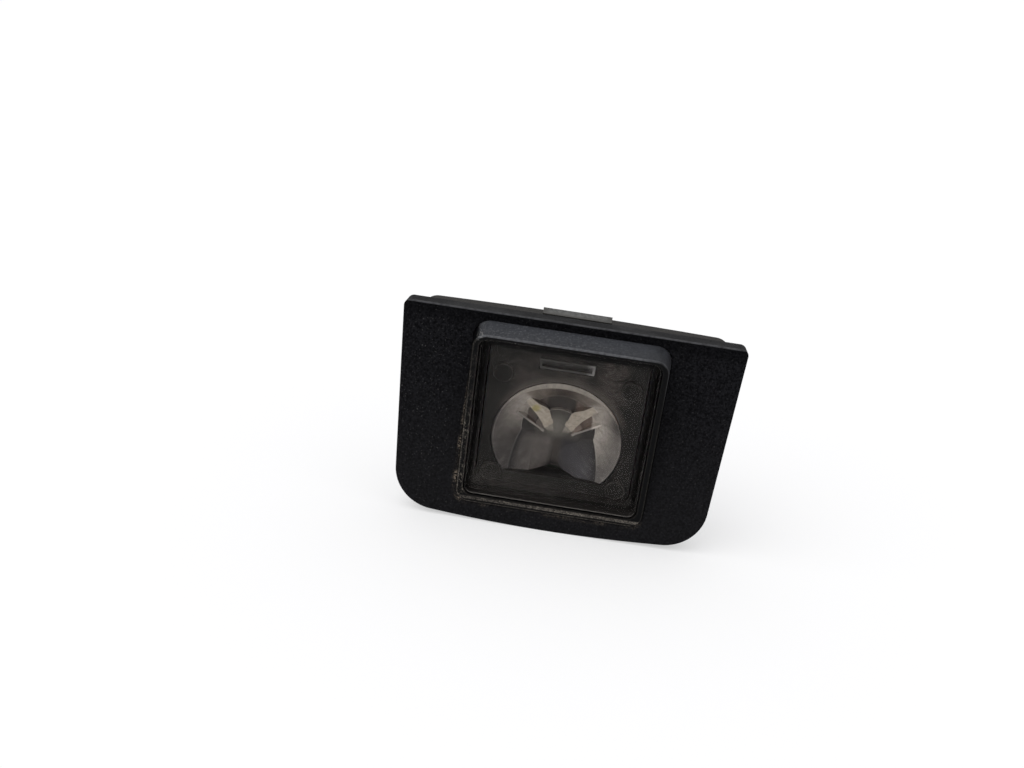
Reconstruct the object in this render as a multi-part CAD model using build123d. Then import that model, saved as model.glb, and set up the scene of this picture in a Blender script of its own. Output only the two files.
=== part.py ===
from build123d import *
import os
from math import cos, radians, sin, tan

os.makedirs("parts", exist_ok=True)

# Number plate lamp, in millimetres and degrees. X runs across the lamp, Z is up and the lens faces -Y.
# The origin is on the plane where the gasket meets the car, halfway up the bezel's rear rim.

# Lens and the raised frame round it
lens_size = 34.7
lens_corner = 2.0
lens_thickness = 2.0
lens_clearance = 0.1
lens_tilt = 8.3
lens_recess = 0.5
lens_ledge = 1.85
lens_edge_round = 0.3
frame_rim_side = 1.2
frame_rim_top = 0.6
frame_rim_bottom = 1.6
frame_corner = 2.7
frame_draft = 4.0
frame_edge_round = 0.25
seal_width = 0.8
seal_depth = 0.8

# Bezel, as margins round the lens
bezel_beside = 15.65
bezel_above = 3.1
bezel_front_rise = 0.5
bezel_below = 5.6
bezel_side_lean = 3.2
bezel_bottom_sag = 1.6
bezel_depth = 5.1
bezel_face = 1.6
bezel_skirt = 1.5
bezel_top_corner = 1.3
bezel_bottom_corner = 8.5
bezel_edge_round = 0.35
window_clearance = 0.15

# Snap hooks that hold the bezel on the housing's flange
hook_width = 5.0
hook_arm = 1.2
hook_reach = 0.9
hook_lip = 1.3
hook_spread = 10.0
flange_clearance = 0.2

# Housing behind the flange, as steps in from the chamber behind the lens
housing_wall = 1.5
housing_corner = 2.0
chamber_corner = 1.5
rear_side_step = 0.9
rear_top_step = 4.2
rear_bottom_step = 0.5

# Stack behind the lens
mask_depth = 3.0
mask_thickness = 1.0
optic_flange = 1.2
board_thickness = 1.2
component_gap = 3.5
plate_clearance = 0.2

# Optic: a bowl with its axis through the light source, cut off straight below
optic_across = -0.4
optic_cut = 8.0
optic_cut_margin = 3.25
optic_margin = 2.75
optic_rim_wall = 0.35
optic_wall_run = 4.9
optic_bowl_depth = 5.1
optic_cover = 0.9
optic_base_step = 1.8
optic_lip_radius = 4.7
optic_lip_height = 0.5
optic_brow = 1.1
optic_brow_drop = 2.45
optic_pocket_radius = 2.4
light_gap = 0.2

# Facets in the bowl: two ramps with a valley between them, two petals and two ribs
ramp_start = 1.3
valley_half_width = 0.5
valley_rise = 0.6
shoulder_half_width = 4.6
shoulder_rise = 4.1
wing_half_width = 9.9
wing_rise = 4.9
petal_inner_edge = [(2.8, 5.0), (2.2, 4.4), (1.1, 0.7)]
petal_outer_edge = [(1.9, -0.6), (3.1, 0.8), (4.6, 3.2), (6.2, 5.0)]
petal_end = [(7.3, 6.0), (6.5, 7.6), (5.7, 6.8), (4.4, 5.7)]
petal_angle = 49.0
petal_slope = 12.6
rib_outline = [(2.2, -0.95), (2.45, -1.25), (8.4, 3.05), (8.15, 3.35)]
rib_angle = 30.0
rib_slope = 11.0

# Slot in the mask and the locating tab of the optic that stands in it
slot_margin = 3.3
slot_length = 10.8
slot_width = 2.4
tab_wall = 0.45
tab_clearance = 0.15

# Heat stakes, as margins from the chamber's walls
stake_radius = 1.0
stake_foot_radius = 1.7
stake_head_radius = 2.0
stake_head_height = 0.5
stake_clearance = 0.1
top_stake_beside = 3.2
top_stake_above = 6.3
bottom_stake_beside = 3.0
bottom_stake_below = 2.4
board_corner_gap = 0.3
board_rest_length = 14.0
board_rest_width = 1.2

# Socket for the plug
socket_length = 10.0
socket_height = 6.6
socket_wall = 1.4
socket_depth = 11.0
socket_corner = 1.0
socket_up = 1.0
latch_width = 4.0
latch_height = 1.2
latch_length = 3.0
latch_setback = 2.5
terminal_width = 1.5
terminal_thickness = 0.8
terminal_pitch = 5.0
terminal_reach = 6.3

# Gasket
gasket_thickness = 3.6
gasket_side_inset = 2.6
gasket_top_inset = 0.15
gasket_top_bow = 0.4
gasket_bottom_inset = 2.0
gasket_top_corner = 3.0
gasket_bottom_corner = 6.0
gasket_side_gap = 4.5
gasket_end_gap = 0.9
gasket_hook_gap = 0.4
gasket_leaf_gap = 0.8
gasket_window_corner = 2.5

# Fixing to the panel: rigid hooks below, a leaf spring above
panel_thickness = 1.2
gasket_squeeze = 1.5
panel_hook_width = 6.0
panel_hook_spread = 18.0
panel_hook_reach = 1.6
panel_hook_length = 2.6
spring_width = 13.5
spring_thickness = 0.5
spring_bend = 0.9
spring_crest_rise = 0.35
spring_crest_gap = 3.5
spring_lip = 1.3
spring_lip_slope = 26.0
rail_width = 1.2
rail_lip = 1.0
rail_length = 3.2
rail_clearance = 0.1

# Light source and electronics
led_size = 3.0
led_height = 0.7
emitter_radius = 1.15
emitter_height = 0.6
resistor_size = (3.2, 1.6, 0.6)
capacitor_size = (2.0, 1.25, 1.2)
diode_size = (4.3, 2.6, 2.2)
component_row = 3.4
component_pitch = 5.0

# Places worked out from the sizes above
bezel_top_width = lens_size + 2 * bezel_beside
bezel_height = lens_size * cos(radians(lens_tilt)) + bezel_above + bezel_below
lens_height = (bezel_below - bezel_above) / 2
z_top = bezel_height / 2
z_bottom = -bezel_height / 2
y_front = -(bezel_depth + gasket_thickness)
y_wall = y_front + bezel_face
y_rim = y_front + bezel_depth
lens_forward = lens_size / 2 * sin(radians(lens_tilt))
chamber_half = lens_size / 2 - lens_ledge
chamber_outer = chamber_half + housing_wall
rear_half_width = chamber_half - rear_side_step
rear_top = chamber_half - rear_top_step
rear_bottom = chamber_half - rear_bottom_step
tub_top = rear_top + housing_wall

# Depths below the lens's front face
optic_flange_depth = mask_depth + mask_thickness
step_depth = optic_flange_depth + optic_flange
optic_floor_depth = mask_depth + optic_bowl_depth
pocket_depth = optic_floor_depth + optic_cover
emitter_seat = pocket_depth + light_gap + emitter_height
board_depth = emitter_seat + led_height
board_rear = board_depth + board_thickness
floor_depth = board_rear + diode_size[2] + component_gap
rear_depth = floor_depth + housing_wall
socket_end = rear_depth + socket_depth

# Places on the lens plane
cut_height = optic_cut_margin - chamber_half
optic_up = cut_height + optic_cut
optic_rim_radius = chamber_half - optic_margin - optic_rim_wall
optic_floor_radius = optic_rim_radius - optic_wall_run
optic_base_radius = optic_floor_radius + optic_base_step
slot_height = chamber_half - slot_margin
top_stakes = [(side * (chamber_half - top_stake_beside), chamber_half - top_stake_above) for side in (-1, 1)]
bottom_stakes = [
    (side * (chamber_half - bottom_stake_beside), bottom_stake_below - chamber_half) for side in (-1, 1)
]
terminal_spots = {"negative": -terminal_pitch / 2, "positive": terminal_pitch / 2}
panel_face = panel_thickness - gasket_squeeze

outward = Vector(0, -cos(radians(lens_tilt)), -sin(radians(lens_tilt)))
upward = Vector(0, -sin(radians(lens_tilt)), cos(radians(lens_tilt)))
lens_centre = Vector(0, y_front - lens_forward, lens_height)
lens_plane = Plane(lens_centre, x_dir=(1, 0, 0), z_dir=outward)


def spot(across, up, depth):
    """The point at a place on the lens and a depth below its front face."""
    return lens_centre + Vector(across, 0, 0) + upward * up - outward * depth


def slab(sketch, front, rear):
    """A sketch on the lens plane, made solid between two depths below the lens's front face."""
    return extrude(lens_plane.offset(-rear) * sketch, rear - front)


def plate(sketch, front, rear):
    """A sketch seen from the front, made solid between two places along Y."""
    return extrude(Plane.XZ.offset(-rear) * sketch, rear - front)


def rounded(width, low, high, corner):
    """A rounded rectangle centred on the symmetry plane, between two heights."""
    return Pos(0, (low + high) / 2) * RectangleRounded(width, high - low, corner)


def prism(points, width):
    """A closed outline in the YZ plane, made solid across the symmetry plane."""
    outline = Plane.YZ * make_face(Polyline(*points, close=True))
    return extrude(outline, width / 2, both=True)


def bezel_half_width(height):
    return bezel_top_width / 2 - (z_top - height) * tan(radians(bezel_side_lean))


def bezel_outline(rise=0.0):
    corner_height = z_bottom + bezel_bottom_sag
    top = z_top + rise
    top_left, top_right = (-bezel_half_width(top), top), (bezel_half_width(top), top)
    low_left, low_right = ((side * bezel_half_width(corner_height), corner_height) for side in (-1, 1))
    edges = [
        Line(top_left, top_right),
        Line(top_right, low_right),
        ThreePointArc(low_right, (0, z_bottom), low_left),
        Line(low_left, top_left),
    ]
    outline = Sketch() + make_face(edges)
    outline = fillet(outline.vertices().sort_by(Axis.Y)[-2:], bezel_top_corner)
    return fillet(outline.vertices().sort_by(Axis.Y)[:2], bezel_bottom_corner)


def frame_body(grow):
    """The raised frame's drafted block, from its crest to beyond the bezel's wall, grown on every side."""
    low, high = -lens_size / 2 - frame_rim_bottom, lens_size / 2 + frame_rim_top
    width = lens_size + 2 * frame_rim_side
    foot_depth = rear_depth / 2
    flare = (foot_depth + lens_recess) * tan(radians(frame_draft))
    sections = []
    for depth, spread in ((-lens_recess, grow), (foot_depth, grow + flare)):
        section = rounded(width + 2 * spread, low - spread, high + spread, frame_corner + spread)
        sections.append(lens_plane.offset(-depth) * section)
    return loft(sections, ruled=True)


def before(y):
    """A block that holds everything in front of a place along Y."""
    reach = 2 * bezel_top_width
    return Pos(0, y - reach / 2, 0) * Box(reach, reach, reach)


def hook_heights():
    return [lens_height + side * hook_spread for side in (-1, 1)]


def hook_seat(side, height):
    """Where a snap hook's arm meets the flange, at the narrow end of the arm."""
    return side * (bezel_half_width(height - hook_width / 2) - bezel_skirt - hook_arm)


def make_bezel():
    outline = bezel_outline()
    front = Plane.XZ.offset(-y_front) * bezel_outline(bezel_front_rise)
    body = loft([front, Plane.XZ.offset(-y_rim) * outline], ruled=True)
    body = fillet(body.faces().sort_by(Axis.Y)[0].edges(), bezel_edge_round)
    body -= plate(offset(outline, -bezel_skirt), y_wall, y_rim)
    body -= frame_body(window_clearance) & before(y_wall)
    for side in (-1, 1):
        for height in hook_heights():
            seat = hook_seat(side, height)
            root = seat + side * (hook_arm + bezel_skirt / 2)
            lip_end = y_rim + hook_lip
            tip = seat - side * hook_reach
            arm = [(root, y_wall), (root, y_rim), (seat + side * hook_arm, lip_end), (seat, lip_end)]
            barb = [(tip, y_rim + hook_lip / 3), (tip, y_rim), (seat, y_rim), (seat, y_wall)]
            profile = make_face(Polyline(*arm, *barb, close=True))
            body += extrude(Plane.XY.offset(height - hook_width / 2) * profile, hook_width)
    return body


def flange_body():
    outline = offset(bezel_outline(), -bezel_skirt - flange_clearance)
    body = plate(outline, y_wall, y_rim)
    for side in (-1, 1):
        for height in hook_heights():
            seat = hook_seat(side, height) - side * flange_clearance
            notch = Box(bezel_skirt + 2 * hook_arm, 2 * bezel_depth, hook_width + 2 * flange_clearance)
            body -= Pos(seat + side * (bezel_skirt / 2 + hook_arm), y_wall, height) * notch
    return body


def stake_body(place, foot_depth):
    """A post on the housing's floor, whose thin end is melted into a head over the mask."""
    foot = Pos(*place) * Circle(stake_foot_radius)
    shank = Pos(*place) * Circle(stake_radius)
    head = Pos(*place) * Circle(stake_head_radius)
    crown = stake_head_height / 2
    body = slab(foot, foot_depth, floor_depth)
    body += slab(shank, mask_depth, foot_depth)
    cap = slab(head, mask_depth - stake_head_height, mask_depth)
    return body + fillet(cap.faces().sort_by(Axis.Y)[0].edges(), crown)


def depth_at(up, y):
    """The depth below the lens's front face at which a line along the lens axis reaches a place along Y."""
    return (y - spot(0, up, 0).Y) / cos(radians(lens_tilt))


def panel_hook_tip():
    return spot(0, -chamber_outer, step_depth).Z - panel_hook_reach


def panel_hook():
    """A rigid hook under the housing, behind the panel that the gasket is squeezed against."""
    root = -rear_bottom - housing_wall / 2
    tip = panel_hook_tip()
    start = depth_at(root, panel_face)
    front, rear = spot(0, root, start), spot(0, root, start + panel_hook_length)
    toe = panel_face + panel_hook_length / 2
    return prism([(front.Y, front.Z), (panel_face, tip), (toe, tip), (rear.Y, rear.Z)], panel_hook_width)


def rails():
    """Two rails on top of the housing that the leaf spring's lower leg slides into."""
    inner = spring_width / 2 + rail_clearance
    mouth = tub_top + spring_thickness + rail_clearance
    body = Part()
    for side in (-1, 1):
        centre = side * (inner + rail_width / 2)
        root = tub_top - housing_wall / 2
        post = Pos(centre, (root + mouth) / 2) * Rectangle(rail_width, mouth - root)
        lip_centre = Pos(centre - side * rail_lip / 2, mouth + rail_lip / 2)
        lip = lip_centre * Rectangle(rail_width + rail_lip, rail_lip)
        body += slab(post + lip, rear_depth - rail_length, rear_depth)
    return body


def socket_outline(grow):
    width, height = socket_length + 2 * grow, socket_height + 2 * grow
    return Pos(0, socket_up) * RectangleRounded(width, height, socket_corner + grow)


def latch():
    """The ramp on top of the socket that the plug's latch snaps over."""
    foot = socket_up + socket_height / 2 + socket_wall
    inside = foot - socket_wall / 2
    end = socket_end - latch_setback
    start = end - latch_length
    places = [(inside, end), (foot, end), (foot + latch_height, start), (inside, start)]
    return prism([(spot(0, up, depth).Y, spot(0, up, depth).Z) for up, depth in places], latch_width)


def terminal_outline(across):
    return Pos(across, socket_up) * Rectangle(terminal_width, terminal_thickness)


def make_housing():
    rear_outer = 2 * (rear_half_width + housing_wall)
    chamber_end = step_depth + housing_wall
    chamber = RectangleRounded(2 * chamber_outer, 2 * chamber_outer, housing_corner)
    below_tub_top = Pos(0, tub_top - lens_size) * Rectangle(2 * lens_size, 2 * lens_size)
    body = frame_body(0) & before(y_wall)
    crest = body.faces().filter_by(lambda face: face.normal_at().dot(outward) > 1 - 1e-6)
    body = fillet(crest.edges(), frame_edge_round)
    body += flange_body()
    body += slab(chamber, lens_thickness, chamber_end) & before(y_rim)
    body += slab(chamber & below_tub_top, lens_thickness, chamber_end)
    tub = rounded(rear_outer, -rear_bottom - housing_wall, tub_top, housing_corner)
    body += slab(tub, step_depth, rear_depth)
    body += slab(socket_outline(socket_wall), rear_depth - housing_wall / 2, socket_end)
    body += latch()
    body += rails()
    for side in (-1, 1):
        body += Pos(side * panel_hook_spread / 2, 0, 0) * panel_hook()
    body -= slab(RectangleRounded(lens_size, lens_size, lens_corner), -lens_recess, lens_thickness)
    body -= slab(seal_ring(), lens_thickness, lens_thickness + seal_depth)
    chamber_hollow = RectangleRounded(2 * chamber_half, 2 * chamber_half, chamber_corner)
    body -= slab(chamber_hollow, lens_thickness, step_depth)
    tub_hollow = rounded(2 * rear_half_width, -rear_bottom, rear_top, chamber_corner)
    body -= slab(tub_hollow, step_depth, floor_depth)
    body -= slab(socket_outline(0), rear_depth, socket_end)
    for place in top_stakes:
        body += stake_body(place, board_rear)
    for place in bottom_stakes:
        body += stake_body(place, step_depth)
    rest = Pos(0, board_rest_width / 2 - rear_bottom) * Rectangle(board_rest_length, board_rest_width)
    body += slab(rest, board_rear, floor_depth)
    for across in terminal_spots.values():
        body -= slab(terminal_outline(across), floor_depth, rear_depth)
    return body


def seal_ring():
    outer = lens_size - lens_ledge + seal_width
    inner = outer - 2 * seal_width
    ring = RectangleRounded(outer, outer, lens_corner)
    return ring - RectangleRounded(inner, inner, lens_corner - seal_width)


def make_lens():
    size = lens_size - 2 * lens_clearance
    body = slab(RectangleRounded(size, size, lens_corner - lens_clearance), 0, lens_thickness)
    return fillet(body.faces().sort_by(Axis.Y)[0].edges(), lens_edge_round)


def stake_holes(places):
    return Sketch() + [Pos(*place) * Circle(stake_radius + stake_clearance) for place in places]


def inner_plate():
    size = 2 * (chamber_half - plate_clearance)
    outline = RectangleRounded(size, size, chamber_corner - plate_clearance)
    return outline - stake_holes(top_stakes + bottom_stakes)


def above_cut(clearance):
    """The half of the lens plane above the straight cut across the optic."""
    reach = 2 * lens_size
    return Pos(0, cut_height - clearance + reach / 2) * Rectangle(reach, reach)


def on_axis(sketch):
    """A sketch about the optic's axis, in its place on the lens plane."""
    return Pos(optic_across, optic_up) * sketch


def make_mask():
    radius = optic_rim_radius + optic_rim_wall + plate_clearance
    opening = on_axis(Circle(radius)) & above_cut(plate_clearance)
    slot = Pos(optic_across, slot_height) * Rectangle(slot_length, slot_width)
    return slab(inner_plate() - opening - slot, mask_depth, optic_flange_depth)


def turned(points):
    """A solid turned about the optic's axis from points of radius and depth."""
    centre = spot(optic_across, optic_up, 0)
    section = Plane(centre, x_dir=(1, 0, 0), z_dir=-upward)
    profile = section * make_face(Polyline(*[(radius, -depth) for radius, depth in points], close=True))
    return revolve(profile, Axis(centre, outward))


def bowl_outer():
    rim = optic_rim_radius + optic_rim_wall
    front = [(0, mask_depth), (rim, mask_depth), (rim, step_depth)]
    points = front + [(optic_base_radius, board_depth), (0, board_depth)]
    return turned(points) & slab(above_cut(0), mask_depth, board_depth)


def bowl_hollow():
    lip_depth = optic_floor_depth - optic_lip_height
    points = [
        (0, mask_depth),
        (optic_rim_radius, mask_depth),
        (optic_floor_radius, optic_floor_depth),
        (optic_lip_radius, optic_floor_depth),
        (optic_lip_radius, lip_depth),
        (0, lip_depth),
    ]
    return turned(points) & slab(above_cut(0), mask_depth, board_depth)


def brow():
    """The flat rim over the top of the bowl, a crescent that runs out in the two wings."""
    rim = optic_rim_radius + optic_rim_wall
    crescent = Circle(rim) - Pos(0, -optic_brow_drop) * Circle(rim - optic_brow + optic_brow_drop)
    return slab(on_axis(crescent), mask_depth, board_depth) & bowl_outer()


def ramps():
    """The two ramps that rise from the light source to the cut, with a valley between them."""
    steps = [
        (wing_half_width, wing_rise),
        (shoulder_half_width, shoulder_rise),
        (valley_half_width, valley_rise),
    ]
    crest = [(-across, rise) for across, rise in steps] + steps[::-1]
    sections = []
    for height, share in ((optic_up - ramp_start, 0), (cut_height, 1)):
        line = [(across, rise * share - optic_floor_depth) for across, rise in crest]
        foot = [(wing_half_width, -board_depth), (-wing_half_width, -board_depth)]
        plane = Plane(spot(optic_across, height, 0), x_dir=(1, 0, 0), z_dir=-upward)
        sections.append(plane * make_face(Polyline(*line, *foot, close=True)))
    return loft(sections, ruled=True) & bowl_outer()


def facet(outline, angle, slope, side):
    """A raised facet in the bowl, whose top rises along an angle from the light source to the wall."""
    shape = make_face(Polyline(*[(side * across, up) for across, up in outline], close=True))
    along = Vector(side * cos(radians(angle)), 0, 0) + upward * sin(radians(angle))
    seat = spot(optic_across, optic_up, optic_floor_depth)
    top = Plane(seat, z_dir=outward - along * tan(radians(slope)))
    reach = 2 * lens_size
    under_top = top * Pos(0, 0, -reach / 2) * Box(reach, reach, reach)
    return slab(on_axis(shape), mask_depth, board_depth) & under_top


def locating_tab():
    """A thin rectangular collar on the optic's flange that stands in the mask's slot."""
    length, width = slot_length - 2 * tab_clearance, slot_width - 2 * tab_clearance
    collar = Rectangle(length, width) - Rectangle(length - 2 * tab_wall, width - 2 * tab_wall)
    return slab(Pos(optic_across, slot_height) * collar, mask_depth, optic_flange_depth)


def optic_flange_outline():
    """The optic's flange, open below the cut so that the ramps end over the housing's wall."""
    opening = Pos(optic_across, cut_height - lens_size / 2) * Rectangle(2 * wing_half_width, lens_size)
    return inner_plate() - opening


def make_optic():
    body = slab(optic_flange_outline(), optic_flange_depth, step_depth)
    body += bowl_outer()
    body += locating_tab()
    body -= bowl_hollow()
    body += ramps()
    body += brow()
    petal = petal_inner_edge + petal_outer_edge + petal_end
    for side in (-1, 1):
        body += facet(petal, petal_angle, petal_slope, side) & bowl_outer()
        body += facet(rib_outline, rib_angle, rib_slope, side) & bowl_outer()
    return body - slab(on_axis(Circle(optic_pocket_radius)), pocket_depth, board_depth)


def make_gasket():
    top = z_top - gasket_top_inset
    bottom = z_bottom + gasket_bottom_inset
    half_top = bezel_top_width / 2 - gasket_side_inset
    half_bottom = half_top - (top - bottom) * tan(radians(bezel_side_lean))
    shoulder = top - gasket_top_bow
    edges = [
        ThreePointArc((-half_top, shoulder), (0, top), (half_top, shoulder)),
        Line((half_top, shoulder), (half_bottom, bottom)),
        Line((half_bottom, bottom), (-half_bottom, bottom)),
        Line((-half_bottom, bottom), (-half_top, shoulder)),
    ]
    outline = Sketch() + make_face(edges)
    outline = fillet(outline.vertices().sort_by(Axis.Y)[-2:], gasket_top_corner)
    outline = fillet(outline.vertices().sort_by(Axis.Y)[:2], gasket_bottom_corner)
    window_top = spot(0, tub_top, depth_at(tub_top, 0)).Z + gasket_end_gap
    window_width = 2 * (chamber_outer + gasket_side_gap)
    outline -= rounded(window_width, panel_hook_tip() - gasket_end_gap, window_top, gasket_window_corner)
    notch_floor = spring_tip().Z - spring_thickness / 2 - gasket_leaf_gap
    outline -= Pos(0, notch_floor + spring_width / 2) * Rectangle(spring_width, spring_width)
    for side in (-1, 1):
        for height in hook_heights():
            reach = 2 * (hook_arm + bezel_skirt)
            inner = hook_seat(side, height) - side * (hook_reach + gasket_hook_gap)
            notch = Rectangle(reach, hook_width + 2 * gasket_hook_gap)
            outline -= Pos(inner + side * reach / 2, height) * notch
    return plate(outline, y_rim, 0)


def spring_crest():
    """The middle of the leaf at its crest, above the bezel's top edge and behind its rim."""
    return Vector(0, y_rim + spring_crest_gap, z_top + spring_crest_rise - spring_thickness / 2)


def spring_tip():
    slope = radians(spring_lip_slope)
    return spring_crest() + Vector(0, -cos(slope), -sin(slope)) * spring_lip


def make_spring():
    """A hairpin leaf: the lower leg lies in the rails, the upper leg rises to a crest behind the bezel."""
    half = spring_thickness / 2
    start = spot(0, tub_top + half, rear_depth - rail_length)
    bend_start = spot(0, tub_top + half, rear_depth)
    bend_end = bend_start + upward * (2 * spring_bend)
    bend_mid = bend_start + upward * spring_bend - outward * spring_bend
    path = Wire(
        [
            Line(start, bend_start),
            ThreePointArc(bend_start, bend_mid, bend_end),
            Line(bend_end, spring_crest()),
            Line(spring_crest(), spring_tip()),
        ]
    )
    flat = Plane.YZ.to_local_coords(path)
    strip = offset(flat, half, kind=Kind.INTERSECTION)
    return extrude(Plane.YZ * make_face(strip), spring_width / 2, both=True)


def make_board():
    gap = plate_clearance
    outline = rounded(2 * (rear_half_width - gap), -rear_bottom + gap, rear_top - gap, chamber_corner)
    outline -= stake_holes(top_stakes)
    corner_cut = 2 * (stake_foot_radius + board_corner_gap)
    reach = lens_size / 2
    for across, up in bottom_stakes:
        side = across / abs(across)
        centre = Pos(across + side * (reach - corner_cut) / 2, up - (reach - corner_cut) / 2)
        outline -= centre * Rectangle(reach, reach)
    outline -= [terminal_outline(across) for across in terminal_spots.values()]
    return slab(outline, board_depth, board_rear)


def make_terminal(across):
    return slab(terminal_outline(across), board_depth, rear_depth + terminal_reach)


def make_led():
    return slab(on_axis(Rectangle(led_size, led_size)), emitter_seat, board_depth)


def make_emitter():
    """The domed emitter on top of the light source's body."""
    disc = slab(on_axis(Circle(emitter_radius)), emitter_seat - emitter_height, emitter_seat)
    return fillet(disc.faces().sort_by(Axis.Y)[0].edges(), emitter_height / 2)


def component(size, across, up):
    """A surface-mounted component on the back of the board."""
    length, width, height = size
    return slab(Pos(across, up) * Rectangle(length, width), board_rear, board_rear + height)


def make_parts():
    row_low = optic_up - component_row
    parts = {
        "bezel": make_bezel(),
        "lamp_housing": make_housing(),
        "lens": make_lens(),
        "lens_seal": slab(seal_ring(), lens_thickness, lens_thickness + seal_depth),
        "mask": make_mask(),
        "optic": make_optic(),
        "gasket": make_gasket(),
        "spring_clip": make_spring(),
        "circuit_board": make_board(),
        "led_package": make_led(),
        "led_emitter": make_emitter(),
        "diode": component(diode_size, optic_across, optic_up),
    }
    for number in range(3):
        across = (number - 1) * component_pitch
        parts[f"resistor_{number + 1}"] = component(resistor_size, across, row_low)
    for number, (name, across) in enumerate(terminal_spots.items()):
        parts[f"terminal_{name}"] = make_terminal(across)
        side = across / abs(across)
        place = across + side * component_pitch
        parts[f"capacitor_{number + 1}"] = component(capacitor_size, place, socket_up)
    return parts


for name, solid in make_parts().items():
    export_step(solid, f"parts/{name}.step")
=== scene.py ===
from math import cos, radians, sin, tan
from types import SimpleNamespace

import bpy
from mathutils import Matrix, Vector


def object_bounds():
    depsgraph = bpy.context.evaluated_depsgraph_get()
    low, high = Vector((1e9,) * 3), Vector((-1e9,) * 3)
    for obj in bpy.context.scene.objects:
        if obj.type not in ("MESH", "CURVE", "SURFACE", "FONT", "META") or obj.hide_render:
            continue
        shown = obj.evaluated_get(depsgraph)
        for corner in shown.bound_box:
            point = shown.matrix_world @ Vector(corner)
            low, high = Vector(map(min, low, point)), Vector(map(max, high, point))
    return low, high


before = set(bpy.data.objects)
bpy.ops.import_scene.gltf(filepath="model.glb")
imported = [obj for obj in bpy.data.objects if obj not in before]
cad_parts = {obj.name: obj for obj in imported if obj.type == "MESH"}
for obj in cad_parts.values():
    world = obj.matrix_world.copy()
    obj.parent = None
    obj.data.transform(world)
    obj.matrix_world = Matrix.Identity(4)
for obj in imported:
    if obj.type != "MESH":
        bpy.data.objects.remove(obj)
cad_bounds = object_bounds()
MM = 0.001

# Axes of the row frame
ACROSS = (1, 0, 0)
INWARD = (0, 1, 0)
UPWARD = (0, 0, 1)

# The lens plane in the row frame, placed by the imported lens
LENS_TILT = radians(8.3)
LENS_THICKNESS = 2.0
LENS_UP = Vector((0, -sin(LENS_TILT), cos(LENS_TILT)))
LENS_OUT = Vector((0, -cos(LENS_TILT), -sin(LENS_TILT)))
lens_corners = [Vector(corner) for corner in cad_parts["lens"].bound_box]
LENS_CENTRE = sum(lens_corners, Vector()) / len(lens_corners) / MM + LENS_OUT * LENS_THICKNESS / 2

# Outlines on the lens plane: half width, low, high and corner
LENS_OUTLINE = (17.35, -17.35, 17.35, 2.0)
FRAME_CREST = (18.55, -18.95, 17.95, 2.7)
FRAME_FOOT = (18.75, -19.0, 18.2, 2.9)
OPTIC_HALO = (9.0, -12.0, 12.0, 4.0)

# Places on the lens plane: the heat stakes, and the frame's corner with pale spots
STAKES_ACROSS = 12.4
STAKES_UP = (-13.1, 9.2)
SPOTTED_CORNER = (-17.7, 17.9)

# Ring marks on the mask: place on the lens plane, radius and colour
MOULD_MARKS = [((8.1, 11.6), 1.0, (0.075, 0.068, 0.062)), ((-9.4, 9.4), 2.8, (0.055, 0.05, 0.046))]

# The bezel's edges in the row frame
bezel_corners = [Vector(corner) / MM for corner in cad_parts["bezel"].bound_box]
BEZEL_TOP = max(corner.z for corner in bezel_corners)
BEZEL_FRONT = min(corner.y for corner in bezel_corners)

# The optic: its axis on the lens plane, its floor, disc and wall, and the depth of its flat rim
OPTIC_AXIS = (-0.4, -4.25)
OPTIC_FLOOR = 8.1
OPTIC_FLOOR_RADIUS = 7.5
OPTIC_DISC_RADIUS = 4.7
OPTIC_WALL_SLOPE = 4.9 / 5.1
OPTIC_RIM_DEPTH = 3.0

# The optic's facets: the angle in plan and the slope of their tops, and lines in plan as slope and start
RIB_FACET = (30.0, 11.0)
PETAL_FACET = (49.0, 12.6)
RIB_LINE = (0.7227, -2.78)
PETAL_LOW_LINE = (1.45, -3.75)
PETAL_HIGH_LINE = (3.36, -3.0)
BLADE_HIGH_LINE = (2.9, -2.9)

# Places about the optic's axis: a painted highlight at the light source, and a yellow tint on the left
# petal
HIGHLIGHT_SPOT = (-0.5, 0.9)
YELLOW_TINT = (-4.9, 4.7)

# Streaks on the optic: their stretch round the axis and along the radius, and the right half's shift
STREAKS_AROUND = 4.0
STREAKS_ALONG = 0.2
STREAKS_SHIFT = 9.0

# The range that most of a noise lies in, and white with its alpha
NOISE_RANGE = (0.3, 0.7)
WHITE = (1, 1, 1, 1)

# Sockets of the Mix node: its factor, its two colours and its result
MIX_FACTOR = 0
MIX_FIRST = 6
MIX_SECOND = 7
MIX_RESULT = 2


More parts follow.
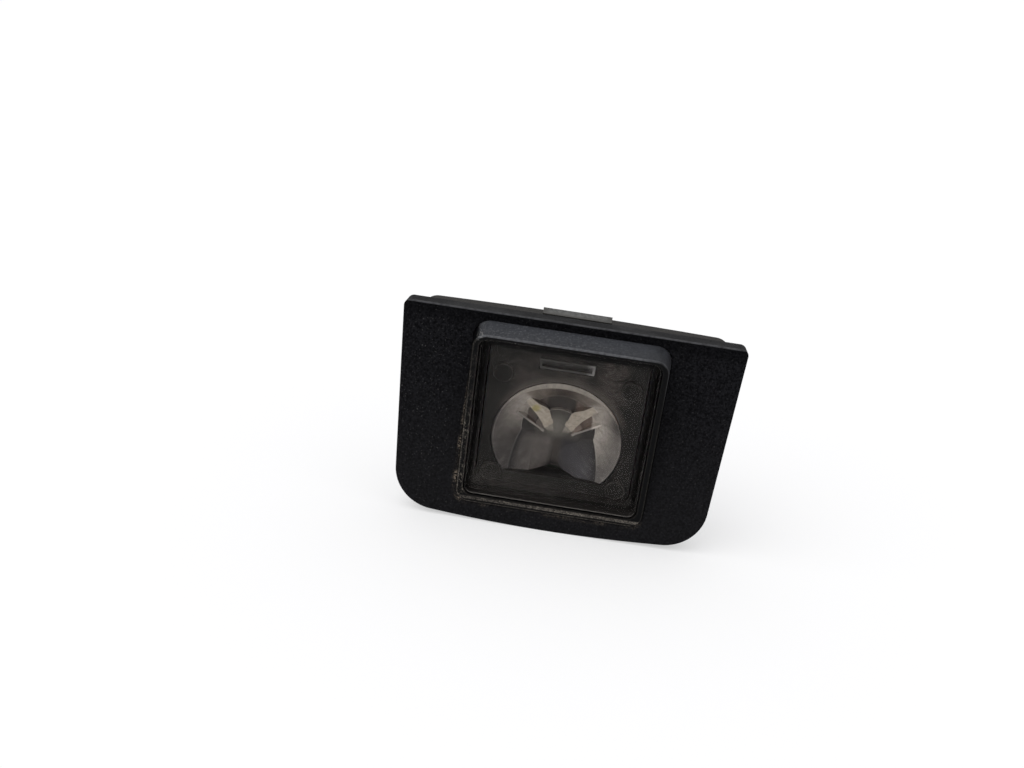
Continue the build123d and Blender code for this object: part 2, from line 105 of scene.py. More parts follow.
class Graph:
    """A node tree with short calls for the nodes that the materials use. Lengths are in millimetres."""

    def __init__(self, tree):
        self.tree = tree
        tree.nodes.clear()

    def node(self, kind, inputs=None, **settings):
        made = self.tree.nodes.new("ShaderNode" + kind)
        for name, value in settings.items():
            setattr(made, name, value)
        for name, value in (inputs or {}).items():
            self.feed(made.inputs[name], value)
        return made

    def feed(self, socket, value):
        """Link another node's output to a socket, or set the socket's own value."""
        if isinstance(value, bpy.types.NodeSocket):
            self.tree.links.new(value, socket)
        else:
            socket.default_value = value

    def math(self, operation, *values):
        made = self.node("Math", operation=operation)
        for socket, value in zip(made.inputs, values):
            self.feed(socket, value)
        return made.outputs[0]

    def product(self, first, *others):
        for other in others:
            first = self.math("MULTIPLY", first, other)
        return first

    def most(self, first, *others):
        for other in others:
            first = self.math("MAXIMUM", first, other)
        return first

    def apart(self, first, second):
        return self.math("ABSOLUTE", self.math("SUBTRACT", first, second))

    def length(self, first, second):
        squares = self.math("ADD", self.product(first, first), self.product(second, second))
        return self.math("SQRT", squares)

    def distance(self, across, up, place):
        return self.length(self.math("SUBTRACT", across, place[0]), self.math("SUBTRACT", up, place[1]))

    def vector(self, operation, first, second=(0, 0, 0)):
        made = self.node("VectorMath", operation=operation)
        self.feed(made.inputs[0], first)
        self.feed(made.inputs[1], second)
        return made.outputs["Value"] if operation == "DOT_PRODUCT" else made.outputs["Vector"]

    def part_of(self, vector, axis):
        return self.vector("DOT_PRODUCT", vector, axis)

    def facing(self, axis, low, high):
        """How much the surface faces along an axis, from 0 at a low share to 1 at a high one."""
        return self.band(self.part_of(self.node("TexCoord").outputs["Normal"], axis), low, high)

    def point(self):
        """The place on the object in millimetres."""
        to_millimetres = (1 / MM, 1 / MM, 1 / MM)
        return self.vector("MULTIPLY", self.node("TexCoord").outputs["Object"], to_millimetres)

    def places(self):
        """The point, and its across, up and depth on the lens plane."""
        point = self.point()
        seen = self.vector("SUBTRACT", point, LENS_CENTRE)
        return SimpleNamespace(
            point=point,
            across=self.part_of(seen, ACROSS),
            up=self.part_of(seen, LENS_UP),
            depth=self.part_of(seen, -LENS_OUT),
        )

    def noise(self, point, scale, detail=2.0, roughness=0.5):
        made = self.node(
            "TexNoise",
            {"Vector": point, "Scale": scale, "Detail": detail, "Roughness": roughness},
        )
        return made.outputs["Fac"]

    def cells(self, point, scale):
        """How far a place lies from the middle of the nearest of many small cells."""
        made = self.node("TexVoronoi", {"Vector": point, "Scale": scale})
        return made.outputs["Distance"]

    def band(self, value, low, high, to_low=0.0, to_high=1.0):
        """A smooth step between two levels, as a value goes from low to high."""
        made = self.node("MapRange", interpolation_type="SMOOTHSTEP")
        self.feed(made.inputs["Value"], value)
        self.feed(made.inputs["From Min"], low)
        self.feed(made.inputs["From Max"], high)
        self.feed(made.inputs["To Min"], to_low)
        self.feed(made.inputs["To Max"], to_high)
        return made.outputs["Result"]

    def mix(self, factor, first, second):
        """The first colour where the factor is 0, the second where it is 1."""
        made = self.node("Mix", data_type="RGBA")
        self.feed(made.inputs[MIX_FACTOR], factor)
        for socket, colour in ((MIX_FIRST, first), (MIX_SECOND, second)):
            linked = isinstance(colour, bpy.types.NodeSocket)
            self.feed(made.inputs[socket], colour if linked else (*colour, 1))
        return made.outputs[MIX_RESULT]

    def bump(self, height, distance, strength=1.0):
        """Distance is in millimetres."""
        made = self.node("Bump", {"Height": height, "Distance": distance * MM, "Strength": strength})
        return made.outputs["Normal"]

    def shader(self, **sockets):
        """The Principled shader, with socket names written with _ for a space."""
        made = self.node("BsdfPrincipled")
        for name, value in sockets.items():
            self.feed(made.inputs[name.replace("_", " ")], value)
        return made.outputs[0]

    def surface(self, **sockets):
        self.node("OutputMaterial", {"Surface": self.shader(**sockets)})

    def background_ray(self):
        """1 for the rays that show the background: seen, mirrored or through clear plastic."""
        path = self.node("LightPath").outputs
        return self.most(path["Is Camera Ray"], path["Is Glossy Ray"], path["Is Transmission Ray"])


def new_material(name):
    made = bpy.data.materials.new(name)
    made.use_nodes = True
    return made, Graph(made.node_tree)


def ring_distance(g, at, outline):
    """How far a place lies outside a rounded rectangle on the lens plane; negative inside it."""
    half_width, low, high, corner = outline
    beside = g.math("SUBTRACT", g.math("ABSOLUTE", at.across), half_width - corner)
    beyond = g.math("SUBTRACT", g.apart(at.up, (low + high) / 2), (high - low) / 2 - corner)
    outside = g.length(g.most(beside, 0.0), g.most(beyond, 0.0))
    inside = g.math("MINIMUM", g.most(beside, beyond), 0.0)
    return g.math("SUBTRACT", g.math("ADD", outside, inside), corner)


def grained_plastic():
    """The bezel's black plastic: fine grain, pale specks, a painted highlight with wear on the top edge,
    painted light from above with dust on what faces up, and dust round the frame.
    """
    made, g = new_material("grained_plastic")
    at = g.places()
    height = g.part_of(at.point, UPWARD)
    inward = g.part_of(at.point, INWARD)
    grain = g.noise(at.point, 2.6, 2.0, 0.65)
    crests = g.band(grain, *NOISE_RANGE)
    cloud = g.band(g.noise(at.point, 0.16, 3.0), *NOISE_RANGE)
    colour = g.mix(crests, (0.002, 0.002, 0.0024), (0.0105, 0.0105, 0.0121))

    # Pale specks, more of them to the left
    specks = g.band(g.noise(at.point, 2.3, 1.0), 0.63, 0.72)
    specks = g.product(specks, g.band(cloud, 0, 1, 0.4, 0.8), g.band(at.across, 26.0, -22.0, 0.5, 1.0))
    colour = g.mix(specks, colour, (0.05, 0.049, 0.049))

    # Darker under the top edge, paler towards the bottom, and painted light from above with dust on what
    # faces up
    under_top = g.band(height, BEZEL_TOP - 4.0, BEZEL_TOP - 1.0, 0.0, 0.5)
    colour = g.mix(under_top, colour, (0.001, 0.001, 0.0013))
    colour = g.mix(g.band(height, 16.0, -18.0, 0.0, 0.28), colour, (0.016, 0.0155, 0.016))
    dust_and_top_light = g.mix(crests, (0.0072, 0.0071, 0.0077), (0.0165, 0.0163, 0.0174))
    colour = g.mix(g.facing(UPWARD, 0.3, 0.8), colour, dust_and_top_light)

    # A painted highlight with wear on the front edge along the top
    edge = g.band(height, BEZEL_TOP - 0.32, BEZEL_TOP - 0.14)
    edge = g.product(edge, g.band(inward, BEZEL_FRONT + 0.55, BEZEL_FRONT + 0.4))
    worn_edge_highlight = g.product(edge, g.band(g.noise(at.point, 0.9, 3.0, 0.7), 0.3, 0.6, 0.45, 1.0))
    colour = g.mix(worn_edge_highlight, colour, (0.062, 0.062, 0.065))

    # Clumps of dust at the foot of the frame, mostly low on the left
    reach = g.band(at.up, 10.0, -14.0, 0.4, 1.1)
    foot = g.band(ring_distance(g, at, FRAME_FOOT), 0.05, reach, 1, 0)
    beside = g.product(g.band(at.across, -15.0, -18.0), g.band(at.up, 16.0, -6.0, 0.25, 1.0))
    below = g.band(at.up, -17.0, -18.8, 0.0, 0.25)
    clumps = g.band(g.noise(at.point, 0.4, 2.0), 0.44, 0.6, 0.08, 1.0)
    grit = g.band(g.noise(at.point, 3.0, 3.0, 0.75), 0.45, 0.58)
    dust = g.product(foot, g.most(beside, below), clumps, grit)
    colour = g.mix(dust, colour, (0.21, 0.173, 0.135))
    g.surface(
        Base_Color=colour,
        Roughness=g.band(cloud, 0, 1, 0.5, 0.62),
        Specular_IOR_Level=0.014,
        Normal=g.bump(grain, 0.08, 0.6),
    )
    return made


def painted_frame_sheen(g, at, colour):
    """A painted grey sheen on what faces up outside the lens, lighter towards the back against the
    bezel's shade, speckled at the left and fading at both ends in painted shade, with painted light on
    the frame's right side.
    """
    sheen = g.mix(g.band(at.fine, *NOISE_RANGE), (0.021, 0.022, 0.0248), (0.039, 0.041, 0.046))
    # Lighter towards the back: painted light against the shade cast by the bezel's face
    sheen = g.mix(g.band(at.depth, -0.5, 5.5, 0.0, 0.3), sheen, (0.073, 0.0765, 0.086))
    speckle = g.band(g.noise(at.point, 2.4, 2.0, 0.6), 0.55, 0.68)
    speckle = g.product(speckle, g.band(at.across, 14.0, 2.0, 0.1, 0.55))
    sheen = g.mix(speckle, sheen, (0.115, 0.118, 0.125))
    # Painted light on the frame's right side near the top
    lit_right_side = g.product(g.facing(ACROSS, 0.2, 0.6), g.band(at.across, 15.5, 16.5))
    colour = g.mix(g.product(lit_right_side, g.band(at.up, 6.0, 15.0)), colour, (0.028, 0.028, 0.031))
    outside = g.most(g.band(at.up, 17.0, 17.6), g.band(at.depth, 5.0, 6.0))
    ends = g.product(g.band(at.across, -18.9, -16.6, 0.55, 1.0), g.band(at.across, 18.6, 13.0, 0.5, 1.0))
    return g.mix(g.product(g.facing(UPWARD, 0.3, 0.8), outside, ends), colour, sheen)


def crest_wear_and_highlight(g, at, colour):
    """Pale lines on the edges of the frame's crest, strongest at the left, with dust, pale spots and a
    painted highlight along the top edge.
    """
    crest = g.band(at.depth, 0.0, -0.2)
    high = g.band(at.up, 16.6, 17.4)
    left = g.product(g.band(at.across, -16.0, -17.5, 0.15, 0.6), g.band(at.up, 12.0, -6.0, 0.35, 1.0))
    outer = g.band(ring_distance(g, at, FRAME_CREST), -0.34, -0.18)
    inner = g.band(ring_distance(g, at, LENS_OUTLINE), 0.3, 0.12)
    inner = g.product(inner, left, g.math("SUBTRACT", 0.75, g.product(high, 0.72)))
    below_lens = g.product(g.band(at.up, -17.5, -17.65), g.band(at.up, -18.35, -18.2))
    below_lens = g.product(below_lens, g.band(at.across, -14.0, 0.0, 0.55, 1.0))
    low_edge = g.band(at.up, -18.5, -18.7, 0.0, 0.45)
    lines = g.most(g.product(outer, left), inner, below_lens, low_edge)
    broken = g.product(g.band(at.fine, 0.34, 0.6, 0.35, 1.0), g.band(at.grit, 0.36, 0.6, 0.15, 1.0))
    colour = g.mix(g.product(lines, crest, broken), colour, (0.13, 0.117, 0.102))

    # Flecks of dust at the left and below the lens
    dusty = g.most(g.band(at.across, -16.8, -17.6, 0.0, 0.8), below_lens)
    clumps = g.band(g.noise(at.point, 0.4, 2.0), 0.4, 0.6, 0.15, 1.0)
    lower = g.band(at.up, 15.0, -8.0, 0.3, 1.0)
    flecks = g.product(crest, dusty, g.band(at.grit, 0.54, 0.66), lower, clumps)
    colour = g.mix(flecks, colour, (0.28, 0.247, 0.206))

    # A painted highlight on the edge along the top, and pale spots at its left end
    brim_highlight = g.product(outer, crest, high, g.band(at.fine, 0.3, 0.6, 0.4, 1.0))
    brim_highlight = g.product(brim_highlight, g.band(at.across, 17.5, 12.5, 0.3, 1.0))
    colour = g.mix(brim_highlight, colour, (0.092, 0.094, 0.1))
    spots = g.band(g.distance(at.across, at.up, SPOTTED_CORNER), 1.3, 0.3)
    spots = g.product(spots, g.band(at.grit, 0.57, 0.62), g.band(at.depth, 2.5, 1.0, 0.3, 1.0))
    return g.mix(spots, colour, (0.42, 0.41, 0.39))


def stake_heads(g, at, colour):
    """The melted heads of the heat stakes, with a faint rim."""
    nearest_up = g.band(at.up, -4.0, 0.0, *STAKES_UP)
    beside = g.math("SUBTRACT", g.math("ABSOLUTE", at.across), STAKES_ACROSS)
    from_stake = g.length(beside, g.math("SUBTRACT", at.up, nearest_up))
    head = g.product(g.band(at.depth, 2.2, 2.4), g.band(at.depth, 3.1, 2.9))
    head = g.product(head, g.band(from_stake, 2.5, 2.3))
    colour = g.mix(head, colour, (0.012, 0.0112, 0.0104))
    rim = g.product(head, g.band(from_stake, 1.65, 1.85), g.band(at.fine, 0.34, 0.62, 0.2, 1.0))
    return g.mix(rim, colour, (0.05, 0.046, 0.043))


def smooth_plastic():
    """The housing's smooth black plastic: a painted sheen on the frame, wear and a painted highlight on
    its crest, and a paler back.
    """
    made, g = new_material("smooth_plastic")
    at = g.places()
    at.fine = g.noise(at.point, 1.6, 4.0, 0.7)
    at.grit = g.noise(at.point, 4.2, 3.0, 0.75)
    cloud = g.noise(at.point, 0.35, 4.0, 0.6)
    colour = g.mix(cloud, (0.001, 0.001, 0.0012), (0.0022, 0.0023, 0.0027))
    colour = painted_frame_sheen(g, at, colour)

    # The back, behind the panel
    rear = g.band(g.part_of(at.point, INWARD), -2.0, -0.5)
    colour = g.mix(rear, colour, g.mix(cloud, (0.013, 0.013, 0.0137), (0.024, 0.024, 0.0252)))

    # The ledge and walls under the lens, hazier towards the bottom
    under_lens = g.product(g.band(at.depth, 0.6, 1.2), g.band(at.depth, 4.0, 3.4))
    hazy = g.product(under_lens, g.band(at.up, 13.0, -14.0))
    colour = g.mix(hazy, colour, (0.0165, 0.0152, 0.0142))
    colour = crest_wear_and_highlight(g, at, colour)
    colour = stake_heads(g, at, colour)
    g.surface(
        Base_Color=colour,
        Roughness=g.band(cloud, *NOISE_RANGE, 0.32, 0.45),
        Specular_IOR_Level=0.06,
        Normal=g.bump(at.fine, 0.02, 0.2),
    )
    return made


def clear_plastic():
    """The clear cover: hazed and dusty, dark at its rounded edge, with a painted highlight on that edge
    along the bottom.
    """
    made, g = new_material("clear_plastic")
    at = g.places()
    haze = g.band(g.noise(at.point, 0.25, 4.0, 0.65), 0.35, 0.7)
    specks = g.band(g.noise(at.point, 1.7, 2.0, 0.6), 0.68, 0.76)
    near_edge = ring_distance(g, at, LENS_OUTLINE)
    edge = g.product(g.band(near_edge, -0.55, -0.3), g.band(at.depth, 1.0, 0.4))
    # A painted highlight on the rounded edge along the bottom
    pale = g.product(edge, g.band(at.up, -16.0, -17.0, 0.04, 0.9))
    colour = g.mix(haze, (0.05, 0.046, 0.042), (0.085, 0.078, 0.071))
    colour = g.mix(edge, colour, (0.006, 0.006, 0.006))
    colour = g.mix(g.most(pale, specks), colour, (0.16, 0.15, 0.14))

    # How dense the haze is: clearer near the edge, with a bloom low on the left
    alpha = g.product(g.band(haze, 0, 1, 0.04, 0.1), g.band(near_edge, -3.5, -1.2, 1.0, 0.3))
    bloom = g.product(g.band(at.up, -10.0, -13.5), g.band(at.across, 8.0, -8.0, 0.15, 1.0))
    alpha = g.math("MULTIPLY_ADD", bloom, g.band(near_edge, -0.8, -1.6, 0.0, 0.14), alpha)
    alpha = g.most(alpha, g.product(specks, 0.3), g.product(edge, 0.85))
    g.surface(
        Base_Color=colour,
        Roughness=g.band(haze, 0, 1, 0.12, 0.25),
        Alpha=alpha,
        Specular_IOR_Level=0.12,
        Normal=g.bump(g.noise(at.point, 0.2, 1.0), 0.02, 0.3),
    )
    return made


def above_line(g, at, line):
    """How far a place lies above a sloping line in plan, mirrored about the optic's middle."""
    slope, start = line
    return g.math("SUBTRACT", at.above, g.math("MULTIPLY_ADD", at.off_middle, slope, start))


def on_facet(g, at, facet):
    """1 on the sloping top of a facet, mirrored about the optic's middle."""
    angle, slope = (radians(degrees) for degrees in facet)
    along = g.math("ADD", g.product(at.off_middle, cos(angle)), g.product(at.above, sin(angle)))
    return g.band(g.apart(at.height, g.product(along, tan(slope))), 0.06, 0.14, 1, 0)


def optic_places(g):
    """Places about the optic's axis, the height over its floor, and distances from its wall and ribs."""
    at = g.places()
    at.beside = g.math("SUBTRACT", at.across, OPTIC_AXIS[0])
    at.above = g.math("SUBTRACT", at.up, OPTIC_AXIS[1])
    at.off_middle = g.math("ABSOLUTE", at.beside)
    at.radius = g.length(at.beside, at.above)
    at.rise = g.math("DIVIDE", at.above, at.radius)
    at.height = g.math("SUBTRACT", OPTIC_FLOOR, at.depth)
    at.right = g.band(at.beside, -2.0, 2.0)
    wall_radius = g.math("MULTIPLY_ADD", at.height, OPTIC_WALL_SLOPE, OPTIC_FLOOR_RADIUS)
    at.from_wall = g.apart(at.radius, wall_radius)
    at.on_wall = g.band(at.from_wall, 0.12, 0.3, 1, 0)
    at.from_rib = above_line(g, at, RIB_LINE)
    at.cloud = g.noise(at.point, 0.45, 3.0)
    at.fine = g.noise(at.point, 1.5, 3.0, 0.6)
    return at


def optic_floor(g, at):
    """The floor and the disc in its middle, with painted highlights at the light source and on the
    disc's upper edge, and painted shade in brown above the ribs.
    """
    colour = g.mix(at.cloud, (0.02, 0.0172, 0.0163), (0.031, 0.027, 0.025))
    colour = g.mix(g.band(at.above, 3.0, 4.5, 0.0, 0.8), colour, (0.036, 0.028, 0.0235))
    disc = g.band(at.radius, OPTIC_DISC_RADIUS - 0.1, OPTIC_DISC_RADIUS + 0.1, 0.6, 0)
    colour = g.mix(disc, colour, (0.075, 0.066, 0.058))
    # A painted highlight on the disc's upper edge
    disc_edge_highlight = g.band(g.apart(at.radius, OPTIC_DISC_RADIUS), 0.06, 0.2, 1, 0)
    disc_edge_highlight = g.product(disc_edge_highlight, g.band(at.above, 2.6, 3.6, 0.0, 0.8))
    colour = g.mix(disc_edge_highlight, colour, (0.3, 0.27, 0.24))
    # A painted highlight round the light source
    highlight = g.band(g.distance(at.beside, at.above, HIGHLIGHT_SPOT), 0.4, 3.6, 1, 0)
    colour = g.mix(highlight, colour, (0.15, 0.138, 0.118))
    # Painted shade in brown above the ribs
    above_rib = g.product(g.band(at.from_rib, -0.2, 0.2), g.band(at.off_middle, 2.4, 3.4))
    brown = g.mix(at.right, (0.13, 0.105, 0.092), (0.2, 0.15, 0.123))
    return g.mix(above_rib, colour, brown)


def optic_ramps(g, at, colour):
    """The ramps below the light source: warm at left, bluish at right, with painted shade on the left's
    outer part and along the wall.
    """
    left = g.mix(at.cloud, (0.085, 0.073, 0.067), (0.13, 0.113, 0.104))
    # Painted shade on the left ramp's outer part, below the rib
    left = g.mix(g.band(at.beside, -3.6, -6.2, 0.0, 0.55), left, (0.03, 0.026, 0.024))
    right = g.mix(g.band(at.above, -2.0, -6.5), (0.024, 0.022, 0.0247), (0.045, 0.042, 0.048))
    ramp = g.mix(g.band(at.beside, -0.6, 0.9), left, right)
    valley = g.product(g.band(at.off_middle, 0.2, 1.7, 1, 0), g.band(at.above, -0.5, -2.0))
    ramp = g.mix(valley, ramp, (0.05, 0.0415, 0.0365))
    # Painted shade along the foot of the wall
    ramp = g.mix(g.band(at.from_wall, 0.3, 1.6, 0.95, 0.0), ramp, (0.012, 0.0105, 0.0105))
    return g.mix(g.band(at.above, -1.0, -2.6), colour, ramp)


def optic_petals(g, at, colour):
    """The ribs, and the petals, whose blades run on over the disc. The left one has a yellow tint."""
    rib = g.product(g.band(g.math("ABSOLUTE", at.from_rib), 0.28, 0.4, 1, 0), on_facet(g, at, RIB_FACET))
    rib = g.product(rib, g.band(at.off_middle, 2.0, 2.6))
    colour = g.mix(rib, colour, (0.3, 0.27, 0.24))
    over_low_line = above_line(g, at, PETAL_LOW_LINE)
    petal = g.product(on_facet(g, at, PETAL_FACET), g.band(over_low_line, -0.4, 0.1))
    petal = g.product(petal, g.band(above_line(g, at, PETAL_HIGH_LINE), 0.9, 0.2))
    under_high_line = g.band(above_line(g, at, BLADE_HIGH_LINE), 0.5, 0.1)
    blade = g.product(g.band(over_low_line, -0.1, 0.25), under_high_line)
    on_disc = g.band(at.radius, OPTIC_DISC_RADIUS + 0.2, OPTIC_DISC_RADIUS - 0.2)
    blade = g.product(blade, on_disc, g.band(at.above, -0.8, 0.3, 0.0, 0.9))
    colour = g.mix(blade, colour, (0.29, 0.255, 0.215))
    yellow = g.band(g.distance(at.beside, at.above, YELLOW_TINT), 1.1, 0.5)
    return g.mix(petal, colour, g.mix(yellow, (0.45, 0.39, 0.315), (0.42, 0.36, 0.17)))


def optic_wings(g, at, colour):
    """The wings on the bowl's wall: painted light brightest near the petals, painted shade on the
    right's outer part, and painted shade in brown between them at the top.
    """
    left = g.mix(g.band(at.above, -6.0, 1.0), (0.058, 0.051, 0.049), (0.112, 0.1, 0.093))
    # Painted light on the left wing near the petal
    left_lit = g.product(g.band(at.beside, -12.5, -6.5), g.band(at.above, -2.5, 3.6))
    left = g.mix(left_lit, left, (0.48, 0.43, 0.38))
    right = g.mix(g.band(at.above, -7.5, -1.0), (0.115, 0.104, 0.097), (0.17, 0.153, 0.139))
    right = g.mix(g.band(at.above, 2.0, 5.0), right, (0.06, 0.054, 0.05))
    # Painted light on the right wing's inner part, and painted shade on its outer part
    right_lit = g.mix(g.band(at.above, -7.5, 2.0), (0.115, 0.104, 0.097), (0.62, 0.56, 0.495))
    right_lit = g.mix(g.band(at.above, 2.5, 5.5), right_lit, (0.46, 0.41, 0.36))
    right = g.mix(g.band(at.beside, 11.6, 7.4), right, right_lit)
    wings = g.mix(at.right, left, right)
    # Painted shade in brown between the wings at the top, on the wall that faces down
    between = g.mix(g.band(at.cloud, 0.35, 0.65), (0.06, 0.047, 0.04), (0.1, 0.082, 0.07))
    between = g.mix(g.band(at.beside, 0.5, 5.0, 0.0, 0.9), between, (0.25, 0.21, 0.18))
    between = g.mix(g.band(at.beside, -1.0, -4.0, 0.0, 0.9), between, (0.22, 0.185, 0.155))
    colour = g.mix(at.on_wall, colour, g.mix(g.band(at.rise, 0.74, 0.82), wings, between))

    # Beyond the ribs the floor takes the wings' colours, with a trace of the left rib's end
    beyond_rib = g.product(g.band(at.off_middle, 6.2, 6.7), g.band(at.from_rib, -0.6, -0.2))
    beyond_rib = g.product(beyond_rib, g.band(at.above, 6.5, 5.0))
    colour = g.mix(beyond_rib, colour, wings)
    on_rib = g.band(g.math("ABSOLUTE", at.from_rib), 0.3, 0.5, 1, 0)
    rib_end = g.product(g.band(at.off_middle, 5.9, 6.5), on_rib, on_facet(g, at, RIB_FACET))
    rib_end = g.product(rib_end, g.band(at.beside, 2.0, -2.0, 0.0, 0.8))
    return g.mix(rib_end, colour, (0.2, 0.178, 0.16))


def optic_streaks(g, at, colour):
    """Fine streaks that run out from the light source, dark everywhere, with painted highlights on the
    wings.
    """
    turn = g.product(g.math("ARCTAN2", at.above, at.off_middle), STREAKS_AROUND)
    turn = g.math("MULTIPLY_ADD", at.right, STREAKS_SHIFT, turn)
    ray = g.node("CombineXYZ", {"X": turn, "Y": g.product(at.radius, STREAKS_ALONG)}).outputs[0]
    streaks = g.noise(ray, 2.5, 3.0, 0.65)
    colour = g.mix(g.band(streaks, 0.5, 0.3, 0.0, 0.25), colour, (0.045, 0.04, 0.038))
    # Painted highlights along the streaks on the wings
    lit = g.product(g.band(streaks, 0.5, 0.72), g.band(at.on_wall, 0, 1, 0.05, 0.12))
    return g.mix(lit, colour, (0.6, 0.55, 0.5))


def optic_rim(g, at, colour):
    """The flat rim over the top, the collar in the mask's slot, and a little mottling all over."""
    brow = g.band(at.depth, OPTIC_RIM_DEPTH + 0.15, OPTIC_RIM_DEPTH + 0.05)
    colour = g.mix(g.product(brow, g.band(at.rise, 0.5, 0.7)), colour, (0.27, 0.24, 0.205))
    collar = g.mix(g.band(at.across, 3.0, 4.8), (0.045, 0.043, 0.04), (0.19, 0.182, 0.175))
    colour = g.mix(g.band(at.up, 9.0, 9.6), colour, collar)
    return g.mix(g.band(at.fine, 0.35, 0.7, 0.0, 0.25), colour, (0.05, 0.045, 0.042))


def optic_plastic():
    """Satin light guide painted with the light and shade of a clear optic: pale wings and petals, and
    painted darkness where a clear optic would show what is behind it.
    """
    made, g = new_material("optic_plastic")
    at = optic_places(g)
    colour = optic_floor(g, at)
    for paint in (optic_ramps, optic_petals, optic_wings, optic_streaks, optic_rim):
        colour = paint(g, at, colour)
    g.surface(
        Base_Color=colour,
        Roughness=g.band(at.cloud, *NOISE_RANGE, 0.32, 0.45),
        Specular_IOR_Level=0.2,
        Normal=g.bump(at.fine, 0.02, 0.3),
    )
    return made


def mask_plastic():
    """The dark plate round the optic: browner and paler above it, with two ring marks from its mould."""
    made, g = new_material("dark_plastic")
    at = g.places()
    cloud = g.noise(at.point, 0.3, 4.0, 0.6)
    fine = g.noise(at.point, 1.4, 4.0, 0.7)
    high = g.band(at.up, 2.0, 9.0)
    colour = g.mix(cloud, (0.0095, 0.009, 0.0084), (0.018, 0.017, 0.016))
    near = g.band(ring_distance(g, at, OPTIC_HALO), -2.0, 4.5, 1, 0)
    brown = g.product(near, high, g.band(cloud, 0.35, 0.65, 0.2, 1.0))
    colour = g.mix(brown, colour, (0.042, 0.036, 0.0325))
    warm = g.product(g.band(at.across, 5.0, 8.0), g.band(at.across, 12.5, 10.0))
    warm = g.product(warm, high, g.band(fine, *NOISE_RANGE))
    colour = g.mix(warm, colour, (0.06, 0.05, 0.045))
    halo = g.band(g.distance(at.across, at.up, OPTIC_AXIS), 14.8, 12.7)
    halo = g.product(halo, g.band(at.up, -1.0, 4.0), g.band(at.across, -13.0, -8.5, 0.4, 1.0))
    colour = g.mix(halo, colour, (0.075, 0.065, 0.057))
    # Painted shade along the top, below the ledge
    colour = g.mix(g.band(at.up, 14.0, 14.7), colour, (0.003, 0.003, 0.0032))
    for place, radius, shade in MOULD_MARKS:
        ring = g.band(g.apart(g.distance(at.across, at.up, place), radius), 0.08, 0.2, 1, 0)
        colour = g.mix(g.product(ring, g.band(fine, 0.4, 0.6)), colour, shade)
    colour = g.mix(g.band(fine, 0.58, 0.72, 0.0, 0.7), colour, (0.04, 0.036, 0.033))
    g.surface(
        Base_Color=colour,
        Roughness=g.band(cloud, *NOISE_RANGE, 0.42, 0.55),
        Specular_IOR_Level=0.07,
        Normal=g.bump(fine, 0.03, 0.4),
    )
    return made


def foam():
    """Dusty open foam with pores."""
    made, g = new_material("foam")
    point = g.point()
    pores = g.cells(point, 2.4)
    cloud = g.noise(point, 0.6, 4.0, 0.65)
    colour = g.mix(cloud, (0.022, 0.021, 0.02), (0.05, 0.0476, 0.0452))
    colour = g.mix(g.band(pores, 0.25, 0.1), colour, (0.007, 0.0066, 0.0062))
    g.surface(
        Base_Color=colour,
        Roughness=g.band(cloud, *NOISE_RANGE, 0.85, 0.95),
        Specular_IOR_Level=0.1,
        Normal=g.bump(pores, 0.12, 0.8),
    )
    return made


def spring_steel():
    """Dull sheet steel, darker low on its lip and at both ends."""
    made, g = new_material("spring_steel")
    point = g.point()
    fine = g.noise(point, 1.2, 4.0, 0.7)
    colour = g.mix(g.band(fine, *NOISE_RANGE), (0.07, 0.07, 0.068), (0.145, 0.144, 0.14))
    low = g.band(g.part_of(point, UPWARD), 21.6, 20.9)
    ends = g.band(g.math("ABSOLUTE", g.part_of(point, ACROSS)), 4.8, 6.6, 0.0, 0.75)
    darker_patches = g.product(g.most(low, ends), g.band(fine, 0.3, 0.6, 0.3, 1.0))
    colour = g.mix(darker_patches, colour, (0.05, 0.047, 0.042))
    g.surface(
        Base_Color=colour,
        Roughness=g.band(fine, *NOISE_RANGE, 0.42, 0.6),
        Metallic=0.6,
        Specular_IOR_Level=0.3,
        Normal=g.bump(fine, 0.02, 0.4),
    )
    return made


def plain(name, low, high, scale, rough, metal=0.0, specular=0.3):
    """A finish clouded between two colours, for the pieces inside."""
    made, g = new_material(name)
    cloud = g.noise(g.point(), scale, 3.0)
    g.surface(
        Base_Color=g.mix(cloud, low, high),
        Roughness=g.band(cloud, *NOISE_RANGE, rough - 0.05, rough + 0.05),
        Metallic=metal,
        Specular_IOR_Level=specular,
        Normal=g.bump(cloud, 0.03, 0.4),
    )
    return made


MATERIALS = {
    "grained_plastic": grained_plastic(),
    "smooth_plastic": smooth_plastic(),
    "clear_plastic": clear_plastic(),
    "sealant": plain("sealant", (0.006, 0.0056, 0.0054), (0.011, 0.0104, 0.01), 0.8, 0.6, specular=0.05),
    "dark_plastic": mask_plastic(),
    "optic_plastic": optic_plastic(),
    "foam": foam(),
    "spring_steel": spring_steel(),
    "board": plain("board", (0.005, 0.016, 0.008), (0.009, 0.024, 0.012), 0.5, 0.4),
    "led_body": plain("led_body", (0.7, 0.7, 0.66), (0.8, 0.8, 0.77), 1.0, 0.4),
    "phosphor": plain("phosphor", (0.75, 0.6, 0.08), (0.85, 0.7, 0.14), 2.0, 0.5),
    "chip": plain("chip", (0.012, 0.012, 0.013), (0.02, 0.02, 0.02), 1.0, 0.5),
    "chip_ceramic": plain("chip_ceramic", (0.3, 0.22, 0.14), (0.38, 0.28, 0.18), 1.0, 0.5),
    "tinned_brass": plain("tinned_brass", (0.6, 0.58, 0.52), (0.7, 0.68, 0.62), 0.8, 0.3, metal=1.0),
}

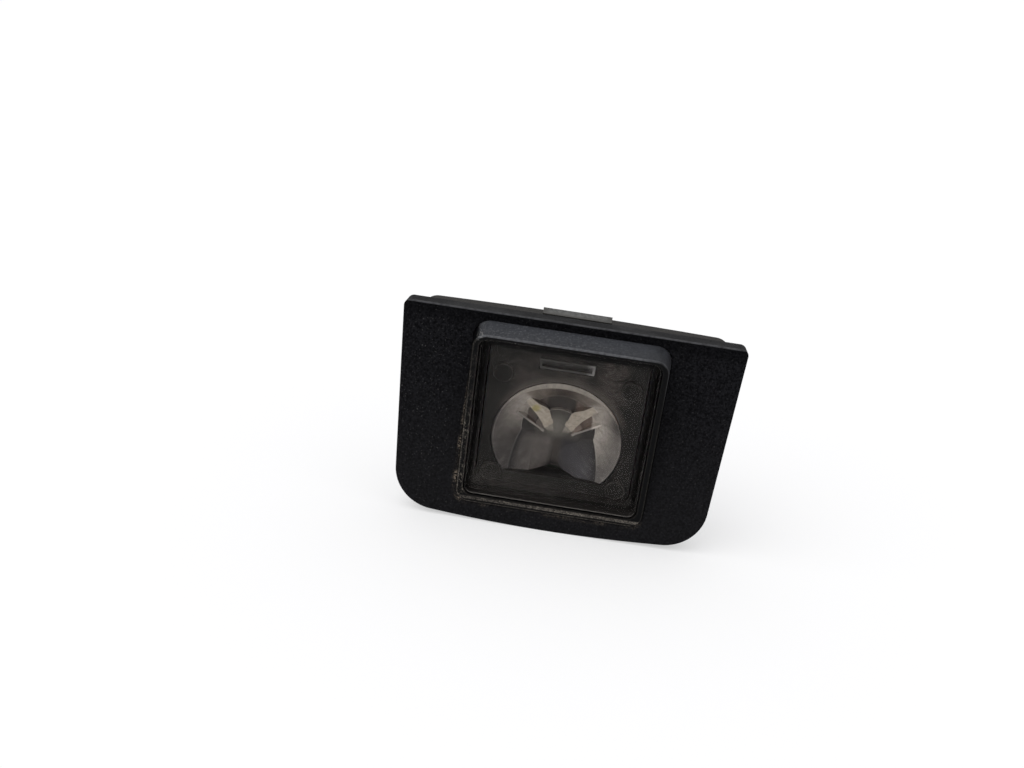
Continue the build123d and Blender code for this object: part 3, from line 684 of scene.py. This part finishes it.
SLOTS = {
    "bezel": "grained_plastic",
    "lamp_housing": "smooth_plastic",
    "lens": "clear_plastic",
    "lens_seal": "sealant",
    "mask": "dark_plastic",
    "optic": "optic_plastic",
    "gasket": "foam",
    "spring_clip": "spring_steel",
    "circuit_board": "board",
    "led_package": "led_body",
    "led_emitter": "phosphor",
    "resistor_1": "chip",
    "resistor_2": "chip",
    "resistor_3": "chip",
    "capacitor_1": "chip_ceramic",
    "capacitor_2": "chip_ceramic",
    "diode": "chip",
    "terminal_positive": "tinned_brass",
    "terminal_negative": "tinned_brass",
}
for name, slot in SLOTS.items():
    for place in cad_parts[name].material_slots:
        place.material = MATERIALS[slot]

# A pale floor, reach in metres, with a share of plain white for the rays that show the background
FLOOR_REACH = 12.0
FLOOR_WHITE = 0.5
FLOOR_COLOUR = (0.95, 0.95, 0.95, 1)
FLOOR_SQUARE = ((-1, -1), (1, -1), (1, 1), (-1, 1))
floor_mesh = bpy.data.meshes.new("floor")
floor_corners = [(x * FLOOR_REACH, y * FLOOR_REACH, cad_bounds[0].z) for x, y in FLOOR_SQUARE]
floor_mesh.from_pydata(floor_corners, [], [(0, 1, 2, 3)])
floor = bpy.data.objects.new("floor", floor_mesh)
bpy.context.scene.collection.objects.link(floor)
floor_material, floor_graph = new_material("floor")
floor_shade = floor_graph.shader(Base_Color=FLOOR_COLOUR, Roughness=0.9, Specular_IOR_Level=0.1)
paper = floor_graph.node("Emission", {"Color": WHITE, "Strength": 1.0})
whitened = floor_graph.product(floor_graph.background_ray(), FLOOR_WHITE)
floor_mix = floor_graph.node("MixShader", {0: whitened, 1: floor_shade, 2: paper.outputs[0]})
floor_graph.node("OutputMaterial", {"Surface": floor_mix.outputs[0]})
floor_mesh.materials.append(floor_material)

# Sky, brighter overhead, and a white backdrop
SKY_LOW = (0.5, 0.5, 0.51)
SKY_HIGH = (1.0, 1.0, 1.02)
SKY_STRENGTH = 0.88
world = bpy.data.worlds.new("studio")
world.use_nodes = True
sky = Graph(world.node_tree)
overhead = sky.band(sky.part_of(sky.node("TexCoord").outputs["Generated"], UPWARD), 0.0, 0.9)
light = sky.mix(overhead, SKY_LOW, SKY_HIGH)
lighting = sky.node("Background", {"Color": light, "Strength": SKY_STRENGTH})
backdrop = sky.node("Background", {"Color": WHITE, "Strength": 1.0})
shown = sky.node("MixShader", {0: sky.background_ray(), 1: lighting.outputs[0], 2: backdrop.outputs[0]})
sky.node("OutputWorld", {"Surface": shown.outputs[0]})
bpy.context.scene.world = world

# A soft sun from above, to the left and in front of the lamp
SUN_TOWARDS = Vector((0.6, 0.6, -0.9))
SUN_STRENGTH = 1.3
SUN_SPREAD = radians(60)
sun_data = bpy.data.lights.new("key", "SUN")
sun_data.energy = SUN_STRENGTH
sun_data.angle = SUN_SPREAD
sun = bpy.data.objects.new("key", sun_data)
sun.rotation_mode = "QUATERNION"
sun.rotation_quaternion = SUN_TOWARDS.to_track_quat("-Z", "Y")
bpy.context.scene.collection.objects.link(sun)

# Camera: its right, up and backward axes and its place in the row frame
SENSOR_WIDTH = 36
FOCAL_LENGTH = 49.11
CLIP_NEAR = 0.01
CLIP_FAR = 20
CAMERA_AXES = ((0.9874, 0.0908, 0.1299), (-0.1529, 0.3287, 0.932), (0.0419, -0.9401, 0.3384))
CAMERA_PLACE = Vector((0.8, -261.2, 99.15)) * MM
camera_data = bpy.data.cameras.new("camera")
camera_data.sensor_width = SENSOR_WIDTH
camera_data.lens = FOCAL_LENGTH
camera_data.clip_start = CLIP_NEAR
camera_data.clip_end = CLIP_FAR
camera = bpy.data.objects.new("camera", camera_data)
camera.matrix_world = Matrix.Translation(CAMERA_PLACE) @ Matrix(CAMERA_AXES).transposed().to_4x4()
bpy.context.scene.collection.objects.link(camera)
bpy.context.scene.camera = camera
bpy.context.scene.view_settings.view_transform = "Standard"
